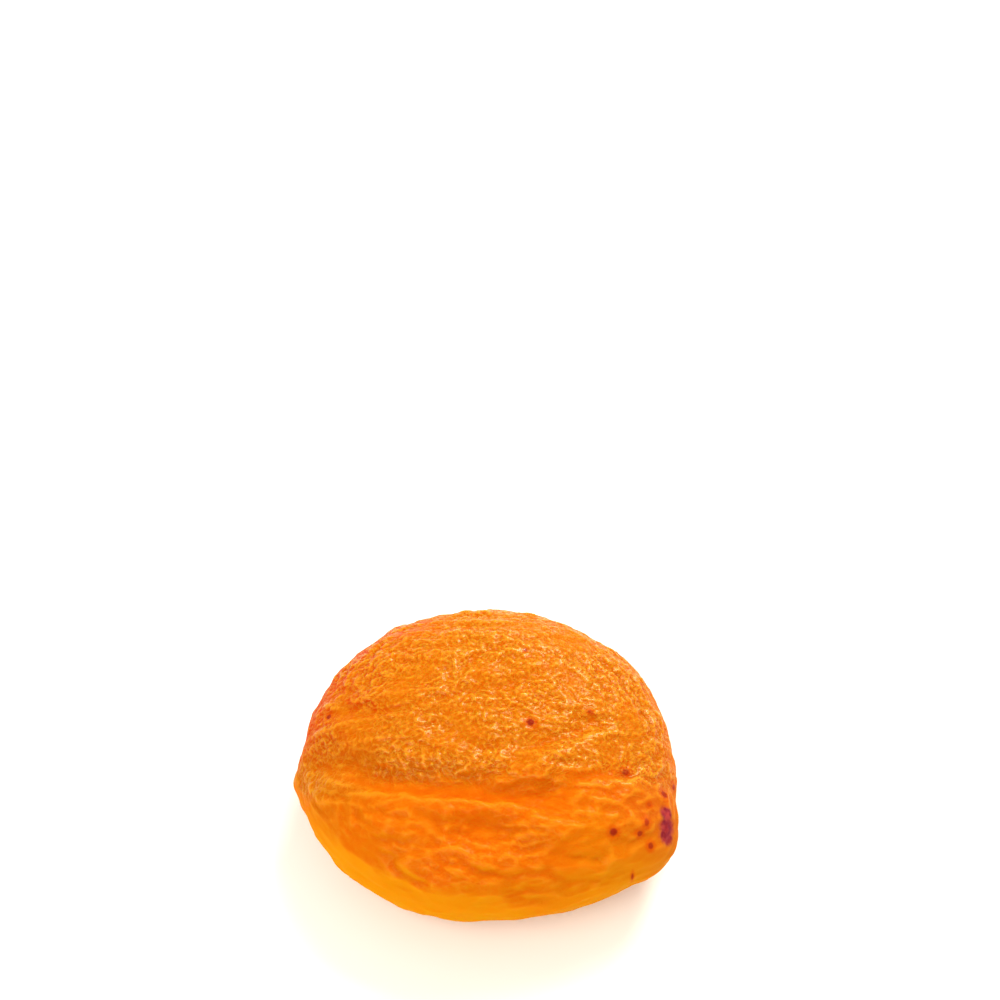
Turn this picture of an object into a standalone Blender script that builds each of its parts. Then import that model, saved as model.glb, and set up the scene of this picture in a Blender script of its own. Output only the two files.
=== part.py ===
"""A whole pitted dried apricot, lying on the small flat spot of its underside.

The fruit grew as one piece, so it is one solid. It starts as a cube whose faces are subdivided and
drawn out to a sphere, which is pressed into a pillow with the fruit's outline, folded along its
suture, dented where the stone was, and wrinkled along its meridians from the tip to the stem end.

Frame: metres, +Z up, +X towards the stem end, -X towards the pointed tip, origin at the bottom
centre of the fruit's box. The suture crosses the upper side, nearer the front (-Y).
"""

import math
from typing import NamedTuple

import bmesh
import bpy
import numpy as np
from mathutils import Vector, noise

MM = 0.001

# Driving dimensions.
RIM_HEIGHT = 7.2 * MM  # of the widest line above the flat spot
CROWN_RISE = 8.6 * MM  # from the widest line up to the top of the pillow
BELLY_DROP = 7.7 * MM  # from the widest line down to the pillow's own lowest point, below the flat spot
PLAN_FULLNESS = 2.25  # superellipse exponent of the pillow's upper section, 2 being an ellipse
BELLY_FULLNESS = 2.3  # the same for the underside
GRID = 30  # quads along each side of the starting cube

# The outline seen from above: how far the widest line lies from the centre, at some angles from +X.
OUTLINE = (
    (0, 20.0 * MM),
    (30, 19.7 * MM),
    (60, 18.5 * MM),
    (90, 17.9 * MM),
    (120, 18.2 * MM),
    (150, 18.6 * MM),
    (180, 19.3 * MM),
    (210, 19.1 * MM),
    (240, 18.8 * MM),
    (270, 18.0 * MM),
    (300, 19.2 * MM),
    (315, 20.7 * MM),
    (330, 22.3 * MM),
    (345, 20.7 * MM),
)

# The pointed tip is a small beak on the widest line.
TIP_ANGLE = 187.0
TIP_LENGTH = 0.7 * MM
TIP_WIDTH = 7.0  # degrees
TIP_THICKNESS = 2.5 * MM

# Wrinkles run along the meridians, from tip to stem end.
WRINKLE_PITCH = 3.3 * MM  # across the wrinkles
WRINKLE_STRETCH = 2.6  # how many times longer than wide they are
WRINKLE_DEPTH = 0.3 * MM
FURROW_SOFTNESS = 0.06  # how far the bottom of a furrow is rounded, 0 being a sharp crease
PLEAT_CONTRAST = 2.2  # how far the pleats stand out between the furrows, in wrinkle depths
SWELL_PITCH = 9.0 * MM  # of the slow lumps under them
SWELL_STRETCH = 1.4
SWELL_DEPTH = 0.5 * MM
GATHER = 0.3  # how strongly the wrinkles close up towards the two ends
NARROWEST = 0.3  # share of the full girth past which they close up no further
NOISE_SEED = Vector((11.3, 4.7, 29.1))

UPPER_SIDE = (0.05, 0.45)  # the folds come in as the surface turns from upright to facing up


class Fold(NamedTuple):
    """A furrow along a line on the upper side, or a ridge where the depth is negative."""

    points: tuple  # (x, y) in millimetres, from above
    width: float  # millimetres from its middle to where it fades
    depth: float  # millimetres


FOLDS = (
    # The suture: a broad furrow from the tip towards the stem end.
    Fold(((-17.5, -2.6), (-14, -4.0), (-10, -5.9), (-5, -6.9), (1.5, -7.7), (6.5, -8.8)), 1.9, 1.0),
    # Its branch towards the upper side of the stem end.
    Fold(((6.5, -7.6), (10.5, -6.0), (14.5, -5.0)), 1.2, 0.3),
    # The lip that stands in front of the suture.
    Fold(((-11, -7.6), (-7.5, -8.6), (-2.5, -9.2), (3, -10.0), (7.5, -12.0)), 1.0, -0.35),
    # The hollow in front of the lip.
    Fold(((-4, -11.8), (-0.5, -11.6), (3, -11.8)), 2.2, 0.8),
    # A slanting ridge behind the suture.
    Fold(((2, -7.0), (5, -5.4), (8.5, -3.4), (12, -1.2)), 0.8, -0.4),
    # Long creases across the upper lobe.
    Fold(((-14, 2.2), (-10, 1.4), (-5, 2.2), (0, 3.4), (4.5, 5.0)), 0.8, 0.35),
    Fold(((-5, 0.5), (-3.5, -1.4), (-0.5, -2.7), (5, -2.7), (9, -1.6), (11.5, 0.3)), 1.0, 0.45),
    # A crease along the far rim on the right.
    Fold(((12.5, 7.0), (15, 5.4), (17, 2.9)), 0.7, 0.3),
)


def smooth_step(low, high, value):
    """0 below low, 1 above high, and a smooth rise between."""
    share = np.clip((value - low) / (high - low), 0.0, 1.0)
    return share * share * (3 - 2 * share)


def outline_radius(angle):
    """Distance of the widest line from the centre, by a smooth closed curve through OUTLINE."""
    knots = np.radians([a for a, _ in OUTLINE])
    radii = np.array([r for _, r in OUTLINE])
    turn = 2 * math.pi
    knots = np.concatenate([knots - turn, knots, knots + turn])
    radii = np.tile(radii, 3)
    slopes = np.gradient(radii, knots)
    angle = angle % turn
    at = np.searchsorted(knots, angle, side="right") - 1
    span = knots[at + 1] - knots[at]
    t = (angle - knots[at]) / span
    return (
        radii[at] * (1 + 2 * t) * (1 - t) ** 2
        + slopes[at] * span * t * (1 - t) ** 2
        + radii[at + 1] * t**2 * (3 - 2 * t)
        + slopes[at + 1] * span * t**2 * (t - 1)
    )


def angle_between(a, b):
    """The signed difference of two angles, in radians."""
    return (a - b + math.pi) % (2 * math.pi) - math.pi


def pillow(directions):
    """Points of the smooth pillow in those directions from its centre."""
    x, y, z = directions.T
    angle = np.arctan2(y, x)
    flat_share = np.hypot(x, y)
    fullness = np.where(z > 0, PLAN_FULLNESS, BELLY_FULLNESS)
    out = flat_share ** (2 / fullness)
    up = np.sign(z) * np.abs(z) ** (2 / fullness)
    height = up * np.where(z > 0, CROWN_RISE, BELLY_DROP)
    radius = outline_radius(angle)
    tip = np.exp(-((angle_between(angle, math.radians(TIP_ANGLE)) / math.radians(TIP_WIDTH)) ** 2))
    radius = radius + TIP_LENGTH * tip * np.exp(-((height / TIP_THICKNESS) ** 2))
    return np.stack([radius * out * np.cos(angle), radius * out * np.sin(angle), height + RIM_HEIGHT], axis=1)


def distance_to_line(points, line):
    """How far each (x, y) point is from a line through the given points."""
    nearest = np.full(len(points), np.inf)
    for start, end in zip(line[:-1], line[1:]):
        along = end - start
        t = np.clip((points - start) @ along / (along @ along), 0.0, 1.0)
        nearest = np.minimum(nearest, np.linalg.norm(points - start - t[:, None] * along, axis=1))
    return nearest


def smooth_line(points, steps=8):
    """More points along a smooth curve through a few."""
    points = np.array(points, float)
    padded = np.concatenate([[2 * points[0] - points[1]], points, [2 * points[-1] - points[-2]]])
    made = []
    for before, start, end, after in zip(padded, padded[1:], padded[2:], padded[3:]):
        for t in np.arange(steps) / steps:
            made.append(
                0.5
                * (
                    2 * start
                    + (end - before) * t
                    + (2 * before - 5 * start + 4 * end - after) * t**2
                    + (3 * start - before - 3 * end + after) * t**3
                )
            )
    return np.array([*made, points[-1]])


def fold_depth(points, upward):
    """How deep the named folds press in at each point; upward is the surface normal's height."""
    depth = np.zeros(len(points))
    on_top = smooth_step(*UPPER_SIDE, upward)
    for fold in FOLDS:
        line = smooth_line(fold.points) * MM
        share = distance_to_line(points[:, :2], line) / (fold.width * MM)
        depth += fold.depth * MM * np.exp(-(share**2)) * on_top
    return depth


def meridian_noise(directions, points, pitch, stretch, seed):
    """Noise from -1 to 1 that is drawn out along the meridians between the tip and the stem end."""
    values = np.empty(len(points))
    around = np.hypot(directions[:, 1], directions[:, 2])
    pull = np.maximum(around, NARROWEST) ** -GATHER
    for i, (point, widen) in enumerate(zip(points, pull)):
        place = Vector((point[0] / stretch, point[1] * widen, point[2] * widen)) / pitch
        values[i] = noise.noise(place + seed)
    return values


def wrinkle_depth(directions, points):
    """Depth of the wrinkles: rounded pleats with sharper furrows between them."""
    waves = meridian_noise(directions, points, WRINKLE_PITCH, WRINKLE_STRETCH, NOISE_SEED)
    pleats = np.sqrt(waves**2 + FURROW_SOFTNESS**2)
    swell = meridian_noise(directions, points, SWELL_PITCH, SWELL_STRETCH, NOISE_SEED * 2)
    return WRINKLE_DEPTH * (1 - PLEAT_CONTRAST * pleats) + SWELL_DEPTH * swell


def vertex_array(bm):
    """The vertices' places as an array."""
    return np.array([v.co for v in bm.verts])


def place_vertices(bm, points):
    """Moves the vertices to those points."""
    for vertex, point in zip(bm.verts, points):
        vertex.co = point
    bm.normal_update()


def drawn_sphere():
    """A cube with subdivided faces, drawn out to a sphere of radius 1."""
    bm = bmesh.new()
    bmesh.ops.create_cube(bm, size=2.0)
    bmesh.ops.subdivide_edges(bm, edges=bm.edges[:], cuts=GRID - 1, use_grid_fill=True)
    corners = vertex_array(bm)
    even = np.tan(corners * math.pi / 4)
    place_vertices(bm, even / np.linalg.norm(even, axis=1)[:, None])
    return bm


def cut_flat_spot(bm):
    """Cuts the underside off at the surface that it rests on, and closes it with one flat face."""
    bmesh.ops.bisect_plane(
        bm,
        geom=bm.verts[:] + bm.edges[:] + bm.faces[:],
        plane_co=(0, 0, 0),
        plane_no=(0, 0, -1),
        clear_outer=True,
    )
    rim = [e for e in bm.edges if e.is_boundary]
    bmesh.ops.edgeloop_fill(bm, edges=rim)
    bmesh.ops.recalc_face_normals(bm, faces=bm.faces[:])


def centre_on_box(bm):
    """Puts the middle of the fruit's box over the origin."""
    points = vertex_array(bm)
    middle = (points.min(axis=0) + points.max(axis=0)) / 2
    bmesh.ops.translate(bm, verts=bm.verts[:], vec=(-middle[0], -middle[1], 0))


def flesh_material():
    """Sulphured dried apricot: moist orange skin."""
    material = bpy.data.materials.new("apricot_skin")
    material.use_nodes = True
    shader = material.node_tree.nodes["Principled BSDF"]
    shader.inputs["Base Color"].default_value = (0.91, 0.29, 0.02, 1.0)
    shader.inputs["Roughness"].default_value = 0.42
    shader.inputs["Metallic"].default_value = 0.0
    return material


def build_apricot(collection):
    """The whole fruit as one object."""
    bm = drawn_sphere()
    directions = vertex_array(bm)
    place_vertices(bm, pillow(directions))
    centre_on_box(bm)
    points = vertex_array(bm)
    normals = np.array([v.normal for v in bm.verts])
    depth = fold_depth(points, normals[:, 2]) + wrinkle_depth(directions, points)
    place_vertices(bm, points - normals * depth[:, None])
    cut_flat_spot(bm)
    centre_on_box(bm)
    mesh = bpy.data.meshes.new("apricot")
    bm.to_mesh(mesh)
    bm.free()
    mesh.shade_smooth()
    mesh.materials.append(flesh_material())
    apricot = bpy.data.objects.new("apricot", mesh)
    collection.objects.link(apricot)
    return apricot


def main():
    """Clears the scene and builds the fruit in a collection of its own."""
    for old in list(bpy.data.objects):
        bpy.data.objects.remove(old)
    collection = bpy.data.collections.new("dried_apricot")
    bpy.context.scene.collection.children.link(collection)
    build_apricot(collection)


main()
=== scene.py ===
"""A whole pitted dried apricot, with its wrinkled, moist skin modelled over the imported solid.

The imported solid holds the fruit's size, outline and main folds. This script lays a fine skin over it,
folds and crinkles the skin, dresses it, and sets it on a plain pale floor in soft studio light.
"""

import logging
import math
from dataclasses import dataclass, field
from enum import Enum

import bmesh
import bpy
import numpy as np
from mathutils import Matrix, Vector, noise
from mathutils.bvhtree import BVHTree


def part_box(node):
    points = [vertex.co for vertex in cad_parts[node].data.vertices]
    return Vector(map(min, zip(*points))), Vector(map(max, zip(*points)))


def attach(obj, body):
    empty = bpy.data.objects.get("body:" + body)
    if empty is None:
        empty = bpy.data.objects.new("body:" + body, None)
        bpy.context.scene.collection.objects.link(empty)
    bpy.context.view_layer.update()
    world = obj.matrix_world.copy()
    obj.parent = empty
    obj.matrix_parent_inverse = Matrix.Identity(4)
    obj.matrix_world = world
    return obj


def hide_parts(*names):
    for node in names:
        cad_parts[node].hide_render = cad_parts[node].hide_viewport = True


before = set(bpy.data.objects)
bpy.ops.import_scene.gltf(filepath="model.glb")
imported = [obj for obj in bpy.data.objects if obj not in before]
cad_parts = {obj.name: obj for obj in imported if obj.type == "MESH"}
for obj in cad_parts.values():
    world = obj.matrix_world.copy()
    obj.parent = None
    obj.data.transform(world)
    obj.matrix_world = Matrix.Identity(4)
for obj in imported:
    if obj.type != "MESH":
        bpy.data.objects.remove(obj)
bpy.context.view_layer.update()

MM = 0.001
WARM_WHITE = (1.0, 0.97, 0.87)  # of the lights and the room
AIM_HEIGHT = 7.8 * MM  # of the point that the camera and the lights are turned to
log = logging.getLogger("dried_apricot")


def smooth_step(start: float, end: float, value: np.ndarray) -> np.ndarray:
    """How far each value has come on its way from start to end, with a smooth start and end.

    Args:
        start: the value that gives 0, as do all before it.
        end: the value that gives 1, as do all past it; it may be the lower one.
        value: the values to weigh.

    Returns:
        One share from 0 to 1 for each value.
    """
    share = np.clip((value - start) / (end - start), 0.0, 1.0)
    return share * share * (3 - 2 * share)


def unit(vectors: np.ndarray) -> np.ndarray:
    """The vectors at length 1, one in each row."""
    return vectors / np.maximum(np.linalg.norm(vectors, axis=1), 1e-12)[:, None]


def smooth_line(points: tuple, steps: int = 8) -> np.ndarray:
    """More points along a smooth curve through a few.

    Args:
        points: the (x, y) points to pass through.
        steps: how many pieces each stretch between two points becomes.

    Returns:
        The points of the curve, one in each row.
    """
    knots = np.array(points, float)
    padded = np.concatenate([[2 * knots[0] - knots[1]], knots, [2 * knots[-1] - knots[-2]]])
    made = []
    for before, start, end, after in zip(padded, padded[1:], padded[2:], padded[3:]):
        for t in np.arange(steps) / steps:
            linear = (end - before) * t
            square = (2 * before - 5 * start + 4 * end - after) * t**2
            cube = (3 * start - before - 3 * end + after) * t**3
            made.append(start + 0.5 * (linear + square + cube))
    return np.array([*made, knots[-1]])


class Side(Enum):
    """A side of the fruit, by the way that it faces."""

    UPPER = 1.0
    UNDER = -1.0


@dataclass(frozen=True)
class Fold:
    """A furrow along a line, or a ridge where the depth is negative.

    Attributes:
        points: (x, y) points of the line in millimetres, seen from above.
        depth: how deep it presses in, in millimetres.
        left: millimetres that its slope takes on the left of the line's direction.
        right: the same on the right.
        taper: share of its length over which each end fades in.
    """

    points: tuple
    depth: float
    left: float
    right: float
    taper: float = 0.2

    FADED = 3  # slope widths from its line at which a fold is gone

    def depth_at(self, places: np.ndarray) -> np.ndarray:
        """How deep the fold presses in at each (x, y) place, in millimetres.

        Args:
            places: the places in millimetres, one in each row.

        Returns:
            One depth in millimetres for each place.
        """
        line = smooth_line(self.points)
        reach = self.FADED * max(self.left, self.right)
        near = np.all((places > line.min(axis=0) - reach) & (places < line.max(axis=0) + reach), axis=1)
        depth = np.zeros(len(places))
        if near.any():
            depth[near] = self._near_depth(places[near], line)
        return depth

    def _near_depth(self, places: np.ndarray, line: np.ndarray) -> np.ndarray:
        """The depth at places close to the line, which is given by its points.

        Args:
            places: the (x, y) places in millimetres, one in each row.
            line: the points of the fold's smooth line.

        Returns:
            One depth in millimetres for each place.
        """
        nearest = np.full(len(places), np.inf)
        offset = np.zeros(len(places))
        share = np.zeros(len(places))
        stretches = len(line) - 1
        for index, (start, end) in enumerate(zip(line[:-1], line[1:])):
            along = end - start
            step = places - start
            t = np.clip(step @ along / (along @ along), 0.0, 1.0)
            distance = np.linalg.norm(step - t[:, None] * along, axis=1)
            side = along[0] * step[:, 1] - along[1] * step[:, 0]
            closer = distance < nearest
            nearest[closer] = distance[closer]
            offset[closer] = (np.sign(side) * distance)[closer]
            share[closer] = (index + t[closer]) / stretches
        width = np.where(offset > 0, self.left, self.right)
        ends = smooth_step(0, self.taper, share) * smooth_step(0, self.taper, 1 - share)
        return self.depth * ends * np.exp(-((nearest / width) ** 2))


# Folds of the upper side, from the suture outwards.
UPPER_FOLDS = (
    # The suture: its far slope is long and its near one is steep, under the lip.
    Fold(
        ((-18, -2.5), (-14, -4.5), (-10, -6.5), (-7.5, -7), (-2.5, -8), (1.5, -8.5), (6.5, -9.5)),
        0.33,
        1.7,
        0.9,
        taper=0.25,
    ),
    Fold(((-12, -7.5), (-7.5, -8), (-4.5, -8.5), (-1, -9), (4, -9.5), (7.5, -12)), -0.15, 0.4, 0.6),
    # The hollow in front of the lip, with its small bumps.
    Fold(((-4, -11.5), (-0.5, -11.5), (3, -12)), 0.35, 1.4, 1.4, taper=0.3),
    Fold(((-2.5, -11.5), (-1.5, -11)), -0.15, 0.35, 0.35, taper=0.4),
    Fold(((3, -12.5), (4.5, -12)), -0.15, 0.4, 0.35, taper=0.4),
    # The slanting ridge behind the suture, up to the stem end.
    Fold(((2, -7.5), (4, -6), (6, -5), (8.5, -3.5), (10, -2), (13.5, -0.5), (17, 1)), -0.06, 0.35, 0.5),
    Fold(((3.5, -7), (6, -6), (8.5, -5)), -0.08, 0.35, 0.4),
    # Long creases across the upper lobe.
    Fold(((-14.5, 2.5), (-10, 1.5), (-7, 2), (-4.5, 2.5), (-1.5, 3), (1.5, 4), (4.5, 5)), 0.08, 0.6, 0.45),
    Fold(((-5, 0.5), (-4, -1), (-0.5, -3), (2.5, -3), (6.5, -2.5), (9, -2), (11.5, 0.5)), 0.08, 0.9, 0.55),
    Fold(((-9, -2), (-5.5, -3.5), (-2, -4.5), (1, -4.5)), 0.16, 0.6, 0.5),
    Fold(((-3, 5.5), (0, 8), (3.5, 9.5)), 0.16, 0.5, 0.5),
    # Right of the suture.
    Fold(((8, -7), (12.5, -5.5), (16, -5)), 0.3, 0.8, 0.5),
    Fold(((7.5, -8), (10, -7.5), (13, -7.5)), 0.16, 0.3, 0.3),
    Fold(((8, -8.5), (10, -8.5), (13.5, -8.5)), -0.14, 0.3, 0.5),
    Fold(((9.5, -10), (12, -10)), -0.16, 0.8, 0.8, taper=0.4),
    # Arcs that follow the far rim on the right.
    Fold(((10.5, 10), (13.5, 7.5), (16, 5), (17, 2)), 0.2, 0.4, 0.4),
    Fold(((10, 9.5), (12.5, 7), (15, 4), (16, 2)), -0.14, 0.35, 0.35),
    Fold(((9, 8.5), (11.5, 6), (14, 3.5)), 0.16, 0.4, 0.4),
    # The near lobe, right.
    Fold(((6, -14), (9, -14), (12.5, -14)), 0.22, 0.45, 0.4),
    Fold(((6, -15), (9.5, -15), (13, -14.5)), -0.16, 0.35, 0.45),
    Fold(((10, -16), (12, -15.5), (15, -14.5)), -0.16, 0.35, 0.4),
    Fold(((1, -17), (5.5, -17), (9.5, -16)), 0.2, 0.7, 0.7),
    # The near lobe, left.
    Fold(((-12.5, -9.5), (-9, -11), (-6.5, -11), (-4, -12.5), (-1, -14.5), (2.5, -15.5)), -0.15, 0.5, 0.4),
    Fold(((-12, -8.5), (-9, -9.5), (-6, -10), (-4, -11)), 0.1, 0.6, 0.5),
    Fold(((-9, -14), (-6.5, -15), (-4.5, -15.5)), -0.14, 0.4, 0.4),
    Fold(((-4, -15), (-1.5, -16), (1, -16.5)), -0.14, 0.35, 0.4),
    Fold(((-16, -6.5), (-14, -8), (-12.5, -10.5)), 0.14, 0.5, 0.5),
)

# Smooth stretches that the crinkles leave bare: along the suture, in the hollow before it, and behind it
# on the right. A depth of 1 is wholly smooth.
CALM_FOLDS = (
    Fold(((-17, -3.5), (-13, -5.5), (-9, -7), (-4, -7.5), (0.5, -8), (5, -9), (7.5, -10)), 0.65, 1.1, 0.6),
    Fold(((-3.5, -11), (-0.5, -11), (2.5, -12)), 0.6, 1.2, 1.2, taper=0.4),
    Fold(((7.5, -6.5), (11, -6), (14, -5.5)), 0.6, 0.7, 0.6),
)

# Folds of the underside, which gather towards the tip and the stem end as those above do.
UNDER_FOLDS = (
    Fold(((-17, -2), (-12, -1), (-8, 1)), 0.5, 1.0, 0.9),
    Fold(((9, 2), (13, 0), (17.5, -3)), 0.45, 0.9, 1.0),
    Fold(((-11, 9), (-5, 12), (2, 12.6), (8, 10.5)), 0.3, 0.8, 0.6),
    Fold(((-12, -9), (-6, -12.4), (1, -13), (8, -12.2)), 0.35, 0.7, 0.8),
    Fold(((10, -9.5), (13.6, -8.4), (17, -7)), -0.25, 0.6, 0.6),
    Fold(((-13, 5), (-10, 6.4), (-7.6, 8.4)), -0.25, 0.6, 0.5),
)


@dataclass(frozen=True)
class WrinkleLayer:
    """One size of wrinkle, gathered out of noise as drying skin buckles.

    Attributes:
        pitch: millimetres from one ridge to the next.
        stretch: how many times longer than wide the ridges run along the meridians.
        height: millimetres from furrow to crest, where the wrinkles are full.
        rounds: how often the pattern is sharpened; more rounds make longer, evener ridges.
        keenness: above 0, how much thinner the crests are than the furrows.
        rim_share: how much of the height is left on the taut rim.
        seed: seed of its noise.
    """

    pitch: float
    stretch: float
    height: float
    rounds: int
    keenness: float
    rim_share: float
    seed: int


class Skin:
    """The skin as one closed mesh of quads, and the ways to move it and spread values over it."""

    PAIRS = ((0, 1), (1, 2), (2, 3), (3, 0), (0, 2), (1, 3))  # corners of a quad that are neighbours
    STEADY = 0.85  # share of the largest steady step that is taken in spreading
    SLOW_PERCENT = 2  # percentage of the vertices that may fall short of one step's distance
    MOST_GIVEN = 0.9  # share of its value that a vertex may give away in one step
    REACHES = 6.5  # how many times the short way of spreading goes into the pitch of the ridges
    FAR = 3  # square length of the longer way, in short ones
    SHARPENING = 1.3
    FLATNESS = 0.5  # below 1, how far the crests stay from being cut off flat

    def __init__(self, cells: int, gather: float, crowd: float) -> None:
        """Draws the skin out to a ball.

        Args:
            cells: quads along each side of the starting cube.
            gather: above 1, quads are drawn together on the upper and under side.
            crowd: below 1, quads are drawn up from the under side to the upper.
        """
        self.bm = bmesh.new()
        bmesh.ops.create_cube(self.bm, size=2.0)
        bmesh.ops.subdivide_edges(self.bm, edges=self.bm.edges[:], cuts=cells - 1, use_grid_fill=True)
        corners = np.array([v.co for v in self.bm.verts])
        self.quads = np.array([[v.index for v in f.verts] for f in self.bm.faces])
        ball = unit(unit(np.tan(corners * math.pi / 4)) * (1.0, 1.0, gather))
        plane = crowd * ball[:, :2] / np.maximum(1 + ball[:, 2:], 1e-9)
        square = (plane**2).sum(axis=1, keepdims=True)
        self.points = np.concatenate([2 * plane, 1 - square], axis=1) / (1 + square)
        self._find_neighbours()

    def _find_neighbours(self) -> None:
        """Makes the table of each vertex's neighbours, across the quads' edges and diagonals."""
        pairs = np.concatenate([self.quads[:, list(pair)] for pair in self.PAIRS])
        pairs = np.unique(np.concatenate([pairs, pairs[:, ::-1]]), axis=0)
        count = len(self.points)
        most = np.bincount(pairs[:, 0], minlength=count)
        first = np.concatenate([[0], np.cumsum(most)[:-1]])
        slot = np.arange(len(pairs)) - first[pairs[:, 0]]
        self.table = np.repeat(np.arange(count)[:, None], most.max(), axis=1)
        self.table[pairs[:, 0], slot] = pairs[:, 1]
        self.real = self.table != np.arange(count)[:, None]
        self.real_count = self.real.sum(axis=1)

    def normals(self) -> np.ndarray:
        """The outward normal at each vertex.

        Returns:
            One vector of length 1 in each row.
        """
        a, b, c, d = (self.points[self.quads[:, i]] for i in range(4))
        area = np.cross(c - a, d - b)
        total = np.zeros_like(self.points)
        for corner in range(4):
            for axis in range(3):
                total[:, axis] += np.bincount(self.quads[:, corner], area[:, axis], len(total))
        return unit(total)

    def relaxed(self, values: np.ndarray, rounds: int) -> np.ndarray:
        """The values after a number of rounds in which each moves halfway to its neighbours' mean.

        Args:
            values: one number or one vector for each vertex.
            rounds: how many rounds.

        Returns:
            The relaxed values.
        """
        real = self.real[:, :, None] if values.ndim == 2 else self.real
        count = self.real_count[:, None] if values.ndim == 2 else self.real_count
        for _ in range(rounds):
            values = 0.5 * values + 0.5 * (values[self.table] * real).sum(axis=1) / count
        return values

    def drape(self, core: BVHTree, centre: np.ndarray, spread: np.ndarray, smoothing: int) -> None:
        """Lays the ball over the core.

        Args:
            core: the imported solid's faces.
            centre: a point inside it, from which the skin is laid outwards.
            spread: half the core's size along each axis, so that the quads come out even.
            smoothing: rounds of relaxing that take the core's facets away.
        """
        heart = Vector(centre)
        aims = unit(self.points * spread)
        laid = []
        for aim in aims:
            hit = core.ray_cast(heart, Vector(aim))[0]
            laid.append(hit if hit is not None else heart)
        self.points = self.relaxed(np.array(laid), smoothing)

    def press(self, depth: np.ndarray, normals: np.ndarray) -> None:
        """Moves each vertex inwards by its depth, in metres, along the given normals."""
        self.points = self.points - normals * depth[:, None]

    def spreader(self, direction: np.ndarray, stretch: np.ndarray) -> tuple:
        """Weights that spread values further along a direction than across it.

        Args:
            direction: the long direction of the wrinkles at each vertex.
            stretch: how many times further values go along it than across it.

        Returns:
            The weight of each neighbour, and the square distance in mm2 that one step covers across.
        """
        offsets = (self.points[self.table] - self.points[:, None, :]) / MM
        square = np.maximum((offsets**2).sum(axis=2), 1e-9)
        along = np.einsum("nkc,nc->nk", offsets, direction)
        across = np.maximum(square - along**2, 0.0)
        weight = (across + stretch[:, None] ** 2 * along**2) / square**2 * self.real
        gained = (weight * across).sum(axis=1)
        total = weight.sum(axis=1)
        step = float(np.percentile(self.STEADY * gained / total, self.SLOW_PERCENT))
        return np.minimum(step / gained, self.MOST_GIVEN / total)[:, None] * weight, step

    def spread(self, values: np.ndarray, weights: np.ndarray, steps: int) -> np.ndarray:
        """The values after a number of steps of spreading to their neighbours.

        Args:
            values: one number for each vertex.
            weights: the weight of each neighbour, as spreader gives it.
            steps: how many steps.

        Returns:
            The spread values.
        """
        kept = 1 - weights.sum(axis=1)
        for _ in range(steps):
            values = kept * values + (values[self.table] * weights).sum(axis=1)
        return values

    def gathered(self, layer: WrinkleLayer, direction: np.ndarray, stretch: np.ndarray) -> np.ndarray:
        """A pattern of wrinkles from -1 in the furrows to 1 on the crests.

        Noise is spread over a short and a longer way, and the difference is sharpened, again and
        again. What is left is ridges of the layer's pitch, which run on and branch as in real skin.

        Args:
            layer: the size and kind of the wrinkles.
            direction: the long direction of the wrinkles at each vertex.
            stretch: how many times longer than wide they are at each vertex.

        Returns:
            One value for each vertex.
        """
        weights, step = self.spreader(direction, stretch)
        short = (layer.pitch / self.REACHES) ** 2
        near_steps = max(1, round(short / step))
        far_steps = max(2, round(self.FAR * short / step))
        values = np.random.default_rng(layer.seed).standard_normal(len(self.points))
        for _ in range(layer.rounds):
            near = self.spread(values, weights, near_steps)
            ripple = near - self.spread(near, weights, far_steps)
            values = np.tanh(self.SHARPENING * ripple / ripple.std())
        return np.clip(self.FLATNESS * ripple / ripple.std(), -1, 1)


@dataclass(frozen=True)
class Freckle:
    """A dark spot on the skin, placed by the direction in which it lies from the fruit's centre.

    Attributes:
        azimuth: degrees from the stem end, turning towards the far side.
        elevation: degrees above the widest line.
        size: (along x, along y, along z) half sizes in millimetres.
        strength: 1 for a full dark spot, less for a faint one.
    """

    azimuth: float
    elevation: float
    size: tuple
    strength: float = 1.0

    def aim(self) -> Vector:
        """The direction in which the spot lies from the fruit's centre."""
        turn, lift = math.radians(self.azimuth), math.radians(self.elevation)
        return Vector((math.cos(turn) * math.cos(lift), math.sin(turn) * math.cos(lift), math.sin(lift)))


def round_spot(azimuth: float, elevation: float, radius: float, strength: float = 1.0) -> Freckle:
    """A round freckle of the given radius in millimetres."""
    return Freckle(azimuth, elevation, (radius, radius, radius), strength)


FRECKLES = (
    round_spot(172, 14, 0.28),
    round_spot(354, 58, 0.4),
    round_spot(7, 32, 0.22, 0.45),
    round_spot(64, 37, 0.2, 0.7),
    Freckle(341, 19, (0.45, 0.36, 0.3), 0.75),
    round_spot(347, 4, 0.34, 0.9),
    Freckle(341, 9, (0.42, 0.45, 0.5)),
    round_spot(334, 13, 0.24, 0.4),
    Freckle(328, 13, (0.32, 0.45, 0.4), 0.8),
    round_spot(318, 16, 0.42),
    Freckle(324, 12, (0.36, 0.3, 0.3), 0.85),
    Freckle(324, 8.5, (0.3, 0.34, 0.4), 0.85),
    Freckle(316, 2, (0.14, 0.3, 0.6), 0.9),
    round_spot(120, -22, 0.35, 0.8),
    round_spot(205, -30, 0.4, 0.7),
    round_spot(80, 8, 0.3, 0.7),
)
# The scar where the stalk came off, narrower at its upper end.
SCAR = (
    Freckle(335, 9, (0.8, 0.9, 0.95)),
    Freckle(332, 7.5, (1.05, 1.15, 1.25)),
    Freckle(330, 6.5, (1.0, 1.05, 1.1)),
)


Socket = bpy.types.NodeSocket


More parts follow.
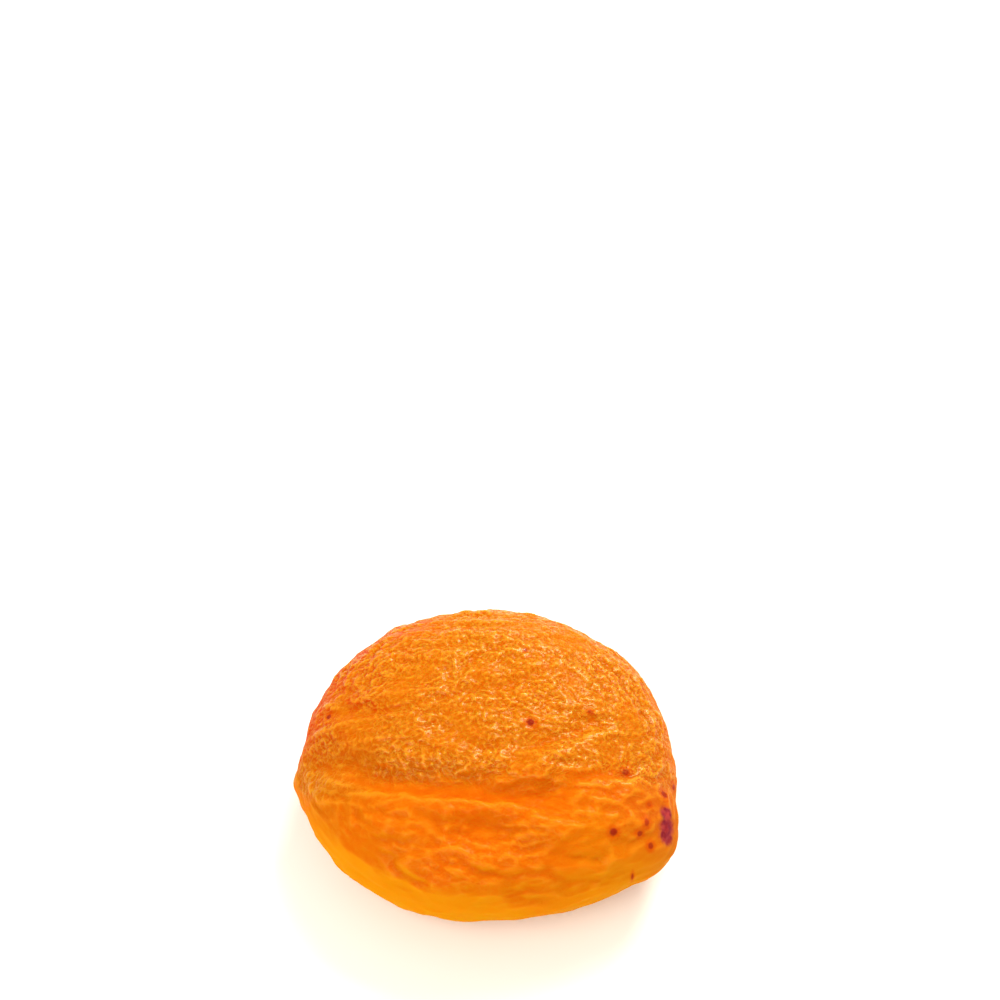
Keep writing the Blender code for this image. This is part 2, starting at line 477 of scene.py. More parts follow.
class NodeBench:
    """Lays out shader nodes in one tree."""

    def __init__(self, tree: bpy.types.NodeTree) -> None:
        """Works in the given tree."""
        self.tree = tree

    def node(self, kind: str, *values: object, **settings: object) -> bpy.types.Node:
        """A new node.

        Args:
            kind: its type name.
            values: what its inputs are fed, in turn.
            settings: its own settings, by name.

        Returns:
            The node.
        """
        made = self.tree.nodes.new(kind)
        for name, value in settings.items():
            setattr(made, name, value)
        for socket, value in zip(made.inputs, values):
            self.feed(socket, value)
        return made

    def feed(self, socket: Socket, value: object) -> None:
        """Gives a socket its value, or links it to the output that it is fed from.

        Args:
            socket: the input.
            value: a number, a vector, a colour or an output.
        """
        if isinstance(value, Socket):
            self.tree.links.new(value, socket)
        else:
            socket.default_value = value

    def math(self, operation: str, *values: object, clamp: bool = False) -> Socket:
        """The result of one sum of numbers, kept from 0 to 1 where clamp is set."""
        return self.node("ShaderNodeMath", *values, operation=operation, use_clamp=clamp).outputs[0]

    def times(self, first: object, second: object) -> Socket:
        """The product of two numbers."""
        return self.math("MULTIPLY", first, second)

    def vector(self, operation: str, *values: object) -> bpy.types.Node:
        """One sum of vectors, as its node."""
        return self.node("ShaderNodeVectorMath", *values, operation=operation)

    def scaled(self, vector: object, factor: object) -> Socket:
        """A vector times a number.

        Args:
            vector: the vector.
            factor: the number.

        Returns:
            The product's output.
        """
        made = self.vector("SCALE", vector)
        self.feed(made.inputs["Scale"], factor)
        return made.outputs[0]

    def ramp(self, value: object, low: float, high: float, start: float = 0.0, end: float = 1.0) -> Socket:
        """The value's smooth way from low to high, as a number from start to end."""
        made = self.node("ShaderNodeMapRange", value, low, high, start, end, interpolation_type="SMOOTHSTEP")
        return made.outputs["Result"]

    def mix(self, share: object, first: object, second: object) -> Socket:
        """A colour between two.

        Args:
            share: 0 for the first colour, 1 for the second.
            first: one colour.
            second: the other.

        Returns:
            The colour's output.
        """
        made = self.node("ShaderNodeMix", share, data_type="RGBA", clamp_factor=True)
        self.feed(made.inputs[6], first)
        self.feed(made.inputs[7], second)
        return made.outputs[2]

    def noise(
        self, place: Socket, scale: float, detail: float = 2.0, roughness: float = 0.5, output: str = "Fac"
    ) -> Socket:
        """Noise at a place.

        Args:
            place: the place.
            scale: how many swells go into one unit.
            detail: how many finer swells are added.
            roughness: how strong those are.
            output: Fac for a number, Color for a vector.

        Returns:
            An output from 0 to 1.
        """
        made = self.node("ShaderNodeTexNoise", place)
        for name, value in (("Scale", scale), ("Detail", detail), ("Roughness", roughness)):
            made.inputs[name].default_value = value
        return made.outputs[output]

    def attribute(self, name: str) -> Socket:
        """The number that the skin holds at each point under a name."""
        return self.node("ShaderNodeAttribute", attribute_name=name).outputs["Fac"]


def new_group(name: str, inputs: dict, outputs: dict) -> tuple:
    """A shader node group with its sockets.

    Args:
        name: the group's name.
        inputs: the kind of each input under its name, as the end of the socket's type name.
        outputs: the same for each output.

    Returns:
        The group, its bench, its inputs' node and its outputs' node.
    """
    group = bpy.data.node_groups.new(name, "ShaderNodeTree")
    for way, sockets in (("INPUT", inputs), ("OUTPUT", outputs)):
        for label, kind in sockets.items():
            group.interface.new_socket(label, in_out=way, socket_type="NodeSocket" + kind)
    bench = NodeBench(group)
    return group, bench, bench.node("NodeGroupInput"), bench.node("NodeGroupOutput")


# The drift that bends the finest crinkles, and the scale, width and share of their two sizes of crest.
DRIFT_SCALE = 0.45
FINE_CRESTS = ((0.7, 0.09, 0.7), (1.25, 0.12, 0.3))

# A spot's mask falls off between these shares of its size, and noise makes its edge stray.
SPOT_FULL, SPOT_GONE = 0.55, 1.25
SPOT_STRAY_SCALE = 2.6


def crinkle_group() -> bpy.types.NodeTree:
    """The finest crinkles: thin crests that wander between shallow valleys.

    Returns:
        A group that gives a height from 0 to 1.
    """
    group, bench, given, made = new_group(
        "fine_crinkle", {"Place": "Vector", "Pitch": "Float", "Wander": "Float"}, {"Height": "Float"}
    )
    place = bench.scaled(given.outputs["Place"], bench.math("DIVIDE", 1.0, given.outputs["Pitch"]))
    drift = bench.noise(place, DRIFT_SCALE, 1.0, output="Color")
    centred = bench.vector("SUBTRACT", drift, (0.5, 0.5, 0.5)).outputs[0]
    warped = bench.vector("ADD", place, bench.scaled(centred, given.outputs["Wander"])).outputs[0]
    height = 0.0
    for scale, width, share in FINE_CRESTS:
        line = bench.math("ABSOLUTE", bench.math("SUBTRACT", bench.noise(warped, scale, 1.0, 0.4), 0.5))
        height = bench.math("ADD", height, bench.times(bench.ramp(line, 0.0, width, 1.0, 0.0), share))
    bench.feed(made.inputs["Height"], height)
    return group


def freckle_group() -> bpy.types.NodeTree:
    """A spot with a ragged edge: 1 in its middle, 0 outside.

    Returns:
        A group that gives the spot's mask.
    """
    group, bench, given, made = new_group(
        "freckle",
        {"Place": "Vector", "Middle": "Vector", "Size": "Vector", "Ragged": "Float", "Strength": "Float"},
        {"Mask": "Float"},
    )
    offset = bench.vector("SUBTRACT", given.outputs["Place"], given.outputs["Middle"]).outputs[0]
    sized = bench.vector("DIVIDE", offset, given.outputs["Size"]).outputs[0]
    share = bench.vector("LENGTH", sized).outputs["Value"]
    uneven = bench.math("SUBTRACT", bench.noise(given.outputs["Place"], SPOT_STRAY_SCALE), 0.5)
    edge = bench.math("ADD", share, bench.times(uneven, given.outputs["Ragged"]))
    mask = bench.ramp(edge, SPOT_FULL, SPOT_GONE, 1.0, 0.0)
    bench.feed(made.inputs["Mask"], bench.times(mask, given.outputs["Strength"]))
    return group


@dataclass(frozen=True)
class MoistSkin:
    """The finish of sulphured dried apricot: moist, slightly translucent orange skin.

    Attributes:
        flesh: its main colour.
        deep_and_painted_shade: colour of the mottles, and of the painted shade in the hollows and furrows.
        crest_and_painted_highlight: the paler colour painted on the crests as a highlight.
        crown: colour of the crinkled upper side.
        painted_rim_glow: the paler colour painted on the near rim as light falling on it and glowing through
            it.
        blush_and_painted_shade: colour of the painted shade on the far side towards the tip and along the
            far rim, and of the blush around the freckles.
        rosy: colour around the stem scar.
        freckle: colour of the spots.
        scar: colour of the stem scar.
        scar_edge: its colour where it is thinner.
        sheen: tint of the gloss.
        roughness: of the taut skin, where no crest is licked smooth.
        gathered_smooth: how much less rough gathered skin is.
        crest_smooth: how much less rough the wrinkles' crests are.
        line_smooth: how much less rough the finest crinkles are.
        scar_dull: how much rougher the scar is.
        moisture: weight of the moist coat on the crests.
        least_moist: share of it that crests keep on the taut skin.
        coat_roughness: of that coat.
        ior: how strongly the skin bends light.
        shine: how much the skin shines under the coat.
        mottling: share of the deeper colour in its mottles.
        hollow_shade_share: share of the painted shade colour in the hollows.
        line_highlight_share: share of the painted highlight colour on the finest crinkles.
        crest_highlight_share: the same on the wrinkles' crests.
        halo_size: how many times its own size the blush around a freckle is.
        halo_strength: how strong that blush is.
        freckle_ragged: how uneven the freckles' edges are.
        scar_ragged: the same for the scar and the halos.
        crinkle_pitch: millimetres that set the spacing of the finest crinkles.
        crinkle_wander: pitches that their lines wander.
        crinkle_height: metres from their valleys to their crests.
        grain: the skin's grain, as a share of that.
        glow_share: share of the light that enters the flesh.
        glow_depth: metres that it reaches.
        glow_reach: the share of that which red, green and blue light reach.
    """

    flesh: tuple = (0.61, 0.158, 0.002, 1.0)
    deep_and_painted_shade: tuple = (0.61, 0.114, 0.001, 1.0)
    crest_and_painted_highlight: tuple = (0.66, 0.3, 0.018, 1.0)
    crown: tuple = (0.52, 0.142, 0.002, 1.0)
    painted_rim_glow: tuple = (0.63, 0.23, 0.002, 1.0)
    blush_and_painted_shade: tuple = (0.54, 0.04, 0.001, 1.0)
    rosy: tuple = (0.5, 0.11, 0.008, 1.0)
    freckle: tuple = (0.33, 0.035, 0.01, 1.0)
    scar: tuple = (0.24, 0.024, 0.04, 1.0)
    scar_edge: tuple = (0.4, 0.06, 0.06, 1.0)
    sheen: tuple = (1.0, 0.76, 0.32, 1.0)
    roughness: float = 0.8
    gathered_smooth: float = 0.42
    crest_smooth: float = 0.12
    line_smooth: float = 0.1
    scar_dull: float = 0.2
    moisture: float = 0.4
    least_moist: float = 0.3
    coat_roughness: float = 0.2
    ior: float = 1.4
    shine: float = 0.08
    mottling: float = 0.4
    hollow_shade_share: float = 0.85
    line_highlight_share: float = 0.6
    crest_highlight_share: float = 0.75
    halo_size: float = 2.1
    halo_strength: float = 0.4
    freckle_ragged: float = 0.5
    scar_ragged: float = 0.4
    crinkle_pitch: float = 0.42
    crinkle_wander: float = 1.6
    crinkle_height: float = 0.085 * MM
    grain: float = 0.12
    glow_share: float = 0.8
    glow_depth: float = 1.9 * MM
    glow_reach: tuple = (1.0, 0.26, 0.06)


class SkinShader:
    """Lays out the skin's material, with its places in millimetres."""

    def __init__(self, finish: MoistSkin, tree: bpy.types.NodeTree) -> None:
        """Starts from the surface that the tree has.

        Args:
            finish: how the skin looks.
            tree: the material's nodes.
        """
        self.finish = finish
        self.bench = NodeBench(tree)
        self.shader = tree.nodes["Principled BSDF"]
        self.place = self.bench.scaled(self.bench.node("ShaderNodeTexCoord").outputs["Object"], 1 / MM)
        self.lines = self.crinkles()

    def crinkles(self) -> Socket:
        """The finest crinkles.

        Returns:
            1 on their crests, and 0 between them and where the skin isn't gathered.
        """
        drawn = self.bench.node("ShaderNodeMapping", self.place, vector_type="POINT")
        drawn.inputs["Scale"].default_value = (0.8, 1.0, 1.0)
        values = (drawn.outputs["Vector"], self.finish.crinkle_pitch, self.finish.crinkle_wander)
        crinkle = self.bench.node("ShaderNodeGroup", *values, node_tree=crinkle_group())
        return self.bench.times(crinkle.outputs["Height"], self.bench.attribute("crinkled"))

    def flesh_colour(self) -> Socket:
        """The skin's colour before its spots.

        Returns:
            The colour's output.
        """
        bench, finish = self.bench, self.finish
        mottled = bench.ramp(bench.noise(self.place, 0.28, 3.0, 0.55), 0.35, 0.68)
        colour = finish.flesh
        for share, tint in (
            (bench.times(mottled, finish.mottling), finish.deep_and_painted_shade),
            (bench.attribute("crown"), finish.crown),
            # painted shade: a deeper colour in the hollows, the furrows and along the suture groove
            (bench.times(bench.attribute("painted_hollow_shade"), finish.hollow_shade_share), finish.deep_and_painted_shade),
            # painted light: a paler colour on the near rim, where light falls and glows through
            (bench.attribute("painted_rim_glow"), finish.painted_rim_glow),
            # painted shade: a deep red-orange on the far side towards the tip and on the far rim
            (bench.attribute("blush_and_painted_shade"), finish.blush_and_painted_shade),
            (bench.attribute("rosy"), finish.rosy),
            # painted highlight: a paler colour on the crests of the crinkles and the wrinkles
            (bench.times(self.lines, finish.line_highlight_share), finish.crest_and_painted_highlight),
            (bench.times(bench.attribute("crest_and_painted_highlight"), finish.crest_highlight_share), finish.crest_and_painted_highlight),
        ):
            colour = bench.mix(share, colour, tint)
        return colour

    def mask(self, marks: list, ragged: float) -> Socket:
        """The combined mask of several spots.

        Args:
            marks: (middle, size, strength) of each spot, in millimetres.
            ragged: how uneven their edges are.

        Returns:
            A number from 0 to 1.
        """
        group = bpy.data.node_groups.get("freckle") or freckle_group()
        total = 0.0
        for middle, size, strength in marks:
            values = (self.place, middle, size, ragged, strength)
            spot = self.bench.node("ShaderNodeGroup", *values, node_tree=group)
            total = self.bench.math("MAXIMUM", spot.outputs["Mask"], total)
        return total

    def dress(self, marks: list, scar: list) -> None:
        """Gives the surface its colours, gloss, relief and glow.

        Args:
            marks: (middle, size, strength) of each freckle, in millimetres.
            scar: the same for the patches of the stem scar.
        """
        bench, finish = self.bench, self.finish
        halos = [(middle, size * finish.halo_size, finish.halo_strength) for middle, size, _ in marks]
        scarred = self.mask(scar, finish.scar_ragged)
        patchy = bench.ramp(bench.noise(self.place, 1.3), 0.35, 0.7)
        colour = self.flesh_colour()
        colour = bench.mix(self.mask(halos, finish.scar_ragged), colour, finish.blush_and_painted_shade)
        colour = bench.mix(self.mask(marks, finish.freckle_ragged), colour, finish.freckle)
        colour = bench.mix(scarred, colour, bench.mix(patchy, finish.scar, finish.scar_edge))
        self.gloss(scarred)
        self.relief()
        for name, value in (
            ("Base Color", colour),
            ("IOR", finish.ior),
            ("Specular IOR Level", finish.shine),
            ("Specular Tint", finish.sheen),
            ("Coat Roughness", finish.coat_roughness),
            ("Subsurface Weight", finish.glow_share),
            ("Subsurface Radius", finish.glow_reach),
            ("Subsurface Scale", finish.glow_depth),
        ):
            bench.feed(self.shader.inputs[name], value)

    def gloss(self, scarred: Socket) -> None:
        """Uneven gloss: the crests are moist and smooth, the taut rim and the scar are duller.

        Args:
            scarred: the scar's mask.
        """
        bench, finish = self.bench, self.finish
        uneven = bench.times(bench.math("SUBTRACT", bench.noise(self.place, 0.9, 3.0, 0.6), 0.5), 0.3)
        rough = bench.math("ADD", uneven, finish.roughness)
        gathered, crest_and_painted_highlight = bench.attribute("crinkled"), bench.attribute("crest_and_painted_highlight")
        for smoothed, share in (
            (gathered, finish.gathered_smooth),
            (crest_and_painted_highlight, finish.crest_smooth),
            (self.lines, finish.line_smooth),
        ):
            rough = bench.math("SUBTRACT", rough, bench.times(smoothed, share))
        rough = bench.math("ADD", rough, bench.times(scarred, finish.scar_dull), clamp=True)
        bench.feed(self.shader.inputs["Roughness"], rough)
        licked = bench.times(crest_and_painted_highlight, bench.math("MAXIMUM", gathered, finish.least_moist))
        coat = bench.math("MULTIPLY", bench.math("ADD", self.lines, licked), finish.moisture, clamp=True)
        bench.feed(self.shader.inputs["Coat Weight"], coat)

    def relief(self) -> None:
        """The finest crinkles and a faint grain, by bump."""
        grain = self.bench.times(self.bench.noise(self.place, 9.0), self.finish.grain)
        bump = self.bench.node("ShaderNodeBump")
        self.bench.feed(bump.inputs["Strength"], 1.0)
        self.bench.feed(bump.inputs["Distance"], self.finish.crinkle_height)
        self.bench.feed(bump.inputs["Height"], self.bench.math("ADD", self.lines, grain))
        self.bench.feed(self.shader.inputs["Normal"], bump.outputs["Normal"])


def skin_material(finish: MoistSkin, marks: list, scar: list) -> bpy.types.Material:
    """Makes the skin's material.

    Args:
        finish: how the skin looks.
        marks: (middle, size, strength) of each freckle, in millimetres.
        scar: the same for the patches of the stem scar.

    Returns:
        The finished material.
    """
    made = bpy.data.materials.new("moist_apricot_skin")
    made.use_nodes = True
    SkinShader(finish, made.node_tree).dress(marks, scar)
    return made


class Regions:
    """The stretches of skin that differ in colour or crinkles: each is 1 within and 0 outside.

    Their edges are places in millimetres, and lifts, which are how far the skin faces up, from -1 to 1.
    """

    def __init__(self, points: np.ndarray, normals: np.ndarray) -> None:
        """Takes the skin's points, in metres, and its normals."""
        self.x, self.y, _ = (points / MM).T
        self.lift = normals[:, 2]

    def rim(self) -> np.ndarray:
        """The taut rim, all the way around."""
        return 1 - smooth_step(0.1, 0.9, np.abs(self.lift))

    def left_front(self) -> np.ndarray:
        """The near side, left of the hollow."""
        return smooth_step(2, -8, self.x + 0.4 * self.y) * smooth_step(-4, -10, self.y)

    def front(self) -> np.ndarray:
        """The near rim."""
        return smooth_step(-8, -14, self.y) * smooth_step(0.85, 0.3, self.lift)

    def right_front(self) -> np.ndarray:
        """The near side, towards the stem end."""
        return smooth_step(5, 12, self.x) * smooth_step(-8.5, -12, self.y)

    def shaded_far_left(self) -> np.ndarray:
        """The far side towards the tip, where the painted shade lies."""
        return smooth_step(-1, -10, self.x) * smooth_step(-4, 2, self.y) * smooth_step(1.0, 0.7, self.lift)

    def shaded_far_rim(self) -> np.ndarray:
        """The whole far rim, down to a little below the widest line, where a lighter painted shade lies."""
        behind = smooth_step(-4, 4, self.y + 0.2 * self.x)
        return behind * smooth_step(0.95, 0.5, self.lift) * (self.lift > -0.3)

    def stem_end(self) -> np.ndarray:
        """Around the stem scar."""
        return np.exp(-(((self.x - 18.5) / 5) ** 2 + ((self.y + 8) / 5.5) ** 2))

    def crown(self) -> np.ndarray:
        """The upper side behind the suture."""
        return smooth_step(-9, -4, self.y - 0.12 * self.x) * smooth_step(0.3, 0.7, self.lift)

    def far_lobe(self) -> np.ndarray:
        """The upper side of the far lobe, where the small wrinkles are strongest."""
        return smooth_step(-7.5, -4.5, self.y) * (self.lift > 0)

    def painted_highlight_zone(self) -> np.ndarray:
        """Where the painted highlight on the crests is strongest: the far lobe behind the suture."""
        return smooth_step(-9, -5, self.y)

    def fine_crinkles(self) -> np.ndarray:
        """Where the finest crinkles are full."""
        return smooth_step(-8, -4.5, self.y)


@dataclass
class DriedApricot:
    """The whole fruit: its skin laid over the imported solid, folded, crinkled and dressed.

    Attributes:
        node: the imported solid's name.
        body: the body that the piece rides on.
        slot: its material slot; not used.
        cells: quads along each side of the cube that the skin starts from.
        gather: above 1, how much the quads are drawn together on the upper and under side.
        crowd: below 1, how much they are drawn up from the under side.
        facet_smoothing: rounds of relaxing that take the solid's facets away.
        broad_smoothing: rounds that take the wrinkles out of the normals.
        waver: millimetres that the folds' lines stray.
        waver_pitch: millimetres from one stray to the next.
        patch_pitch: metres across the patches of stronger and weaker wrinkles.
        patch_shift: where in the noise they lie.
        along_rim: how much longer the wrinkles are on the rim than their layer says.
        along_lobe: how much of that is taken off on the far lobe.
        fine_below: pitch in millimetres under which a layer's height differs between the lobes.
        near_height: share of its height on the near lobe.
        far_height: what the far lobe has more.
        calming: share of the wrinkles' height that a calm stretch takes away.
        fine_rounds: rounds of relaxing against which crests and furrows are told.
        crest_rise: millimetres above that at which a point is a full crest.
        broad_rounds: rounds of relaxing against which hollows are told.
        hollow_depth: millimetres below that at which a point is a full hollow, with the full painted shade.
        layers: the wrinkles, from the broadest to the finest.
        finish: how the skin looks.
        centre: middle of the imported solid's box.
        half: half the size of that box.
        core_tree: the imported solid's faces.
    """

    node: str = "apricot"
    body: str = "root"
    slot: str = "flesh"
    cells: int = 128
    gather: float = 1.2
    crowd: float = 0.7
    facet_smoothing: int = 14
    broad_smoothing: int = 10
    waver: float = 0.28
    waver_pitch: float = 2.4
    patch_pitch: float = 3.6 * MM
    patch_shift: tuple = (7, 3, 1)
    along_rim: float = 1.3
    along_lobe: float = 0.65
    fine_below: float = 1.0
    near_height: float = 0.45
    far_height: float = 0.65
    calming: float = 0.8
    fine_rounds: int = 5
    crest_rise: float = 0.05
    broad_rounds: int = 60
    hollow_depth: float = 0.28
    layers: tuple = (
        WrinkleLayer(pitch=2.6, stretch=3.2, height=0.15, rounds=5, keenness=0.8, rim_share=0.5, seed=11),
        WrinkleLayer(pitch=1.3, stretch=2.4, height=0.13, rounds=6, keenness=1.1, rim_share=0.5, seed=23),
        WrinkleLayer(pitch=0.64, stretch=1.7, height=0.1, rounds=5, keenness=1.8, rim_share=0.2, seed=37),
    )
    finish: MoistSkin = MoistSkin()
    centre: np.ndarray = field(init=False)
    half: np.ndarray = field(init=False)
    core_tree: BVHTree = field(init=False)

    def build(self) -> bpy.types.Object:
        """Models the fruit and dresses it.

        Returns:
            The finished piece.
        """
        low, high = (np.array(corner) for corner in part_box(self.node))
        self.centre = (low + high) / 2
        self.half = (high - low) / 2
        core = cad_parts[self.node]
        self.core_tree = BVHTree.FromPolygons(
            [v.co for v in core.data.vertices], [p.vertices for p in core.data.polygons]
        )
        skin = Skin(self.cells, self.gather, self.crowd)
        skin.drape(self.core_tree, self.centre, self.half, self.facet_smoothing)
        self.fold(skin)
        self.crinkle(skin)
        skin.points[:, 2] = np.maximum(skin.points[:, 2], low[2])
        piece = self.finished(skin)
        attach(piece, self.body)
        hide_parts(self.node)
        return piece

    def strayed(self, points: np.ndarray) -> np.ndarray:
        """The points' (x, y) in millimetres, strayed a little so that no fold runs dead smooth.

        Args:
            points: the points in metres.

        Returns:
            One (x, y) in each row.
        """
        places = points / MM
        stray = np.array([noise.noise_vector(Vector(place) / self.waver_pitch) for place in places])
        return places[:, :2] + stray[:, :2] * self.waver

    def fold(self, skin: Skin) -> None:
        """Presses the furrows in and raises the ridges.

        Args:
            skin: the skin to fold.
        """
        normals = skin.relaxed(skin.normals(), self.broad_smoothing)
        places = self.strayed(skin.points)
        depth = np.zeros(len(places))
        for side, folds in ((Side.UPPER, UPPER_FOLDS), (Side.UNDER, UNDER_FOLDS)):
            facing = smooth_step(0.05, 0.5, normals[:, 2] * side.value)
            for fold in folds:
                depth += fold.depth_at(places) * facing
        skin.press(depth * MM, normals)
        log.info("skin: %d folds", len(UPPER_FOLDS) + len(UNDER_FOLDS))

    def meridians(self, points: np.ndarray) -> np.ndarray:
        """The direction at each point of the line from the tip to the stem end.

        Args:
            points: the points in metres.

        Returns:
            One vector of length 1 in each row.
        """
        ball = unit((points - self.centre) / self.half)
        girth = np.maximum(np.hypot(ball[:, 1], ball[:, 2]), 0.05)
        slope = ball[:, 0] / girth
        run = np.stack([-girth, ball[:, 1] * slope, ball[:, 2] * slope], axis=1)
        return unit(run * self.half)

    def fullness(self, normals: np.ndarray) -> np.ndarray:
        """How full the wrinkles are: 1 on the upper and under side, 0 on the taut rim."""
        return smooth_step(0.0, 0.8, np.abs(normals[:, 2]))

    def crinkle(self, skin: Skin) -> None:
        """Gathers the skin into wrinkles of several sizes.

        Args:
            skin: the skin to crinkle.
        """
        normals = skin.relaxed(skin.normals(), self.broad_smoothing)
        direction = self.meridians(skin.points)
        full = self.fullness(normals)
        bare = self.calm(skin.points)
        far_lobe = Regions(skin.points, normals).far_lobe()
        patches = self.patches(skin.points)
        depth = np.zeros(len(full))
        for layer in self.layers:
            stretch = layer.stretch * (self.along_rim - self.along_lobe * far_lobe * full)
            waves = skin.gathered(layer, direction, stretch)
            crests = np.expm1(layer.keenness * waves) / math.expm1(layer.keenness)
            share = layer.rim_share + (1 - layer.rim_share) * full
            lobe = 1 if layer.pitch > self.fine_below else self.near_height + self.far_height * far_lobe
            depth -= layer.height * crests * share * lobe * patches * (1 - self.calming * bare)
            log.info("skin: wrinkles %.2f mm apart", layer.pitch)
        skin.press(depth * MM, normals)

    def calm(self, points: np.ndarray) -> np.ndarray:
        """How smooth each point is, from 0 to 1, because it lies in a stretch without crinkles.

        Args:
            points: the points in metres.

        Returns:
            One share for each point.
        """
        places = self.strayed(points)
        smooth = sum(fold.depth_at(places) for fold in CALM_FOLDS)
        return np.clip(smooth, 0, 1) * (points[:, 2] > self.centre[2])

    def patches(self, points: np.ndarray) -> np.ndarray:
        """Broad patches in which the wrinkles are stronger or weaker, from 0.5 to 1.25.

        Args:
            points: the points in metres.

        Returns:
            One factor for each point.
        """
        shift = Vector(self.patch_shift)
        broad = np.array([noise.noise(Vector(place) / self.patch_pitch + shift) for place in points])
        return np.clip(0.95 + 1.0 * broad, 0.5, 1.25)

    def finished(self, skin: Skin) -> bpy.types.Object:
        """Makes the object from the skin, with the values that its material reads.

        Args:
            skin: the finished skin.

        Returns:
            The piece, in the scene.
        """
        for vertex, point in zip(skin.bm.verts, skin.points):
            vertex.co = point
        bmesh.ops.recalc_face_normals(skin.bm, faces=skin.bm.faces[:])
        mesh = bpy.data.meshes.new("apricot_skin")
        skin.bm.to_mesh(mesh)
        skin.bm.free()
        mesh.shade_smooth()
        for name, values in self.tints(skin).items():
            mesh.attributes.new(name, "FLOAT", "POINT").data.foreach_set("value", values.astype(np.float32))
        tree = BVHTree.FromPolygons([Vector(p) for p in skin.points], [list(q) for q in skin.quads])
        freckles = self.placed(FRECKLES, tree)
        mesh.materials.append(skin_material(self.finish, freckles, self.placed(SCAR, tree)))
        piece = bpy.data.objects.new("apricot_skin", mesh)
        bpy.context.scene.collection.objects.link(piece)
        return piece

    def placed(self, marks: tuple, tree: BVHTree) -> list:
        """Each mark's (middle, size, strength) on the skin, in millimetres.

        Args:
            marks: the freckles or the scar's patches.
            tree: the skin's faces.

        Returns:
            One tuple for each mark.
        """
        made = []
        for mark in marks:
            hit = tree.ray_cast(Vector(self.centre), mark.aim())[0]
            made.append((hit / MM, Vector(mark.size), mark.strength))
        return made

    def tints(self, skin: Skin) -> dict:
        """The values from 0 to 1 that tint the skin, by name.

        Args:
            skin: the finished skin.

        Returns:
            One value for each vertex under each name.
        """
        normals = skin.normals()
        fine = self.standing(skin, normals, self.fine_rounds)
        broad = self.standing(skin, normals, self.broad_rounds)
        regions = Regions(skin.points, normals)
        full = self.fullness(skin.relaxed(normals, self.broad_smoothing))
        bare = self.calm(skin.points)
        patches = np.minimum(self.patches(skin.points), 1)
        sunk = np.clip(-broad / self.hollow_depth, 0, 1)
        furrow = np.clip(-fine / self.crest_rise, 0, 1)
        ridge = np.clip(fine / self.crest_rise, 0, 1)
        # painted highlight: the crests are painted paler, most on the far lobe
        highlight_strength = 0.5 + 0.5 * regions.painted_highlight_zone()
        # painted light: the near rim is painted paler, as if lit and glowing through
        painted_rim_glow = 0.7 * regions.left_front() * regions.rim() + 0.5 * regions.front()
        gathered = 0.25 + 0.75 * regions.fine_crinkles()
        return {
            # painted shade: a deeper colour in the broad hollows, the fine furrows and the smooth suture
            # groove
            "painted_hollow_shade": np.maximum(0.7 * sunk + 0.3 * furrow, 0.7 * bare),
            # the crest mask, which carries the painted highlight on the crests and also their smoother,
            # moister gloss
            "crest_and_painted_highlight": ridge * highlight_strength * (1 - self.calming * bare) * (0.3 + 0.7 * full),
            "crown": regions.crown(),
            "painted_rim_glow": np.clip(painted_rim_glow + 0.4 * regions.right_front(), 0, 1),
            # painted shade: the far side towards the tip and, more faintly, the far rim are painted darker
            "blush_and_painted_shade": np.maximum(0.9 * regions.shaded_far_left(), 0.35 * regions.shaded_far_rim()),
            "rosy": 0.8 * regions.stem_end(),
            "crinkled": full * gathered * (1 - bare) * patches,
        }

    def standing(self, skin: Skin, normals: np.ndarray, rounds: int) -> np.ndarray:
        """How far each vertex stands out, in millimetres, from the skin relaxed so many rounds."""
        return ((skin.points - skin.relaxed(skin.points, rounds)) * normals).sum(axis=1) / MM


@dataclass(frozen=True)
class SoftBox:
    """A square studio light.

    Attributes:
        bearing: the direction in which it stands from the fruit.
        distance: metres from the fruit.
        size: metres along its side.
        power: watts.
    """

    bearing: tuple
    distance: float
    size: float
    power: float

    def place(self, name: str, target: Vector) -> None:
        """Stands the light up and turns it to the target.

        Args:
            name: its name.
            target: the point that it is turned to.
        """
        data = bpy.data.lights.new(name, "AREA")
        data.energy = self.power
        data.size = self.size
        data.color = WARM_WHITE
        away = Vector(self.bearing).normalized()
        light = bpy.data.objects.new(name, data)
        light.location = target + away * self.distance
        light.rotation_euler = away.to_track_quat("Z", "Y").to_euler()
        bpy.context.scene.collection.objects.link(light)


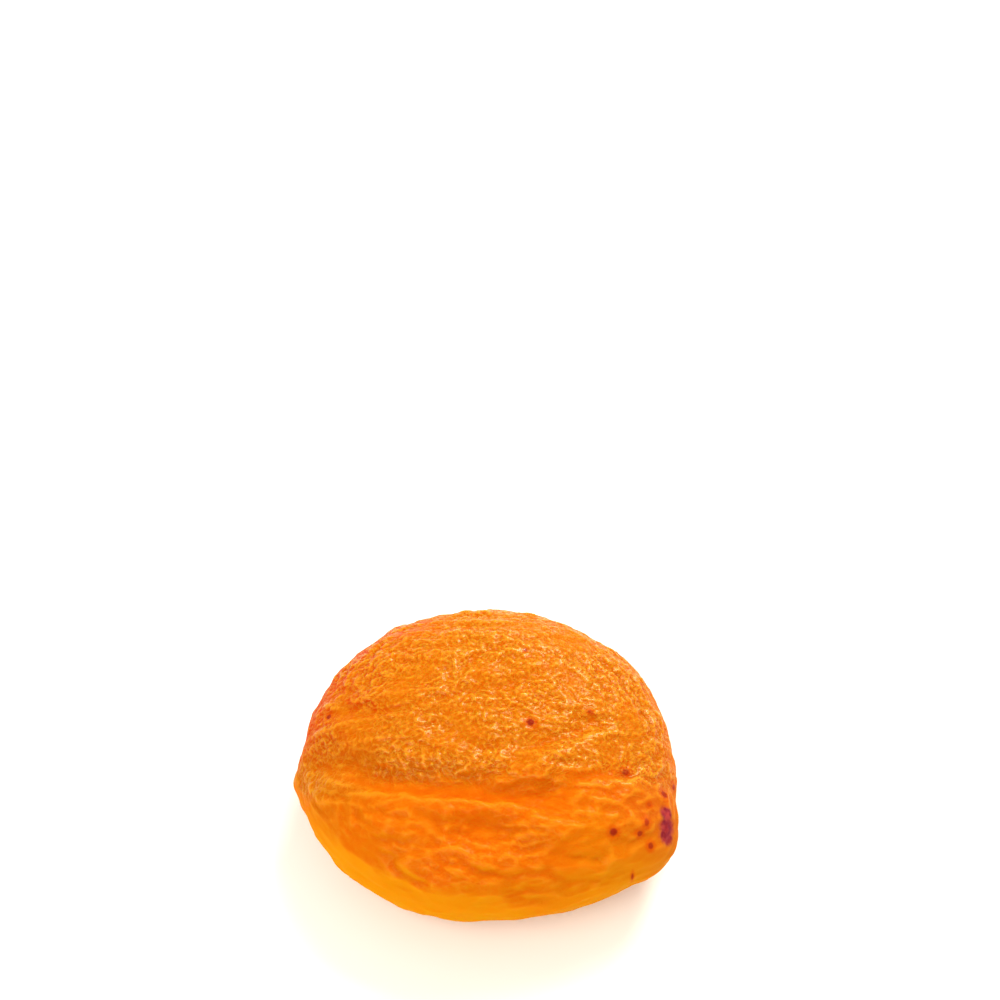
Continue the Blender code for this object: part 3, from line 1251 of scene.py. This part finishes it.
@dataclass
class Studio:
    """The plain floor, the lights and the camera.

    Attributes:
        tilt: degrees that the camera looks down.
        lens: focal length in millimetres.
        sensor: width of the camera's sensor in millimetres.
        depth: metres from the camera to the fruit, along its view.
        aside: how far left of the view's middle the fruit lies, as a share of the view's width.
        below: how far below it.
        nearest: metres from the camera at which its view begins.
        floor_size: metres along the floor's side.
        floor_grey: how much light the floor gives back.
        floor_roughness: how matt it is.
        room_light: strength of the light from all around.
        key: the light behind the fruit, which draws the gloss.
        fill: the broad light in front.
    """

    tilt: float = 52.2
    lens: float = 70.0
    sensor: float = 36.0
    depth: float = 0.2036
    aside: float = 0.015
    below: float = 0.2563
    nearest: float = 0.01
    floor_size: float = 3.0
    floor_grey: float = 0.97
    floor_roughness: float = 0.7
    room_light: float = 0.53
    key: SoftBox = SoftBox(bearing=(0.42, 0.8, 0.95), distance=0.34, size=0.16, power=0.95)
    fill: SoftBox = SoftBox(bearing=(-0.45, -0.7, 1.0), distance=0.5, size=0.4, power=1.65)

    def build(self, target: Vector) -> None:
        """Sets everything up around the point that the camera frames.

        Args:
            target: that point.
        """
        self.lay_floor()
        self.key.place("key_light", target)
        self.fill.place("fill_light", target)
        self.light_room()
        self.stand_camera(target)

    def lay_floor(self) -> None:
        """A plain pale floor."""
        bm = bmesh.new()
        bmesh.ops.create_grid(bm, x_segments=2, y_segments=2, size=self.floor_size / 2)
        mesh = bpy.data.meshes.new("floor")
        bm.to_mesh(mesh)
        bm.free()
        paper = bpy.data.materials.new("white_paper")
        paper.use_nodes = True
        shader = paper.node_tree.nodes["Principled BSDF"]
        shader.inputs["Base Color"].default_value = (*[self.floor_grey] * 3, 1.0)
        shader.inputs["Roughness"].default_value = self.floor_roughness
        mesh.materials.append(paper)
        floor = bpy.data.objects.new("floor", mesh)
        bpy.context.scene.collection.objects.link(floor)

    def light_room(self) -> None:
        """Even warm white light from all around, and the picture's contrast."""
        room = bpy.data.worlds.new("room")
        room.use_nodes = True
        background = room.node_tree.nodes["Background"]
        background.inputs["Color"].default_value = (*WARM_WHITE, 1.0)
        background.inputs["Strength"].default_value = self.room_light
        bpy.context.scene.world = room
        view = bpy.context.scene.view_settings
        view.view_transform = "Standard"
        view.look = "Medium High Contrast"

    def stand_camera(self, target: Vector) -> None:
        """Stands the camera so that the target comes out where it should in the view.

        Args:
            target: the point to frame.
        """
        tilt = math.radians(self.tilt)
        ahead = Vector((0, math.cos(tilt), -math.sin(tilt)))
        up = Vector((0, math.sin(tilt), math.cos(tilt)))
        right = Vector((1, 0, 0))
        width = self.depth * self.sensor / self.lens
        data = bpy.data.cameras.new("camera")
        data.lens = self.lens
        data.sensor_width = self.sensor
        data.clip_start = self.nearest
        camera = bpy.data.objects.new("camera", data)
        eye = target - ahead * self.depth + right * (self.aside * width) + up * (self.below * width)
        camera.matrix_world = Matrix.Translation(eye) @ Matrix((right, up, -ahead)).transposed().to_4x4()
        bpy.context.scene.collection.objects.link(camera)
        bpy.context.scene.camera = camera


def main() -> None:
    """Builds the fruit and its studio."""
    logging.basicConfig(level=logging.INFO, format="%(message)s")
    piece = DriedApricot().build()
    log.info("built %s: %d faces", piece.name, len(piece.data.polygons))
    Studio().build(Vector((0.0, 0.0, AIM_HEIGHT)))
    log.info("built the studio")


if __name__ == "__main__":
    main()
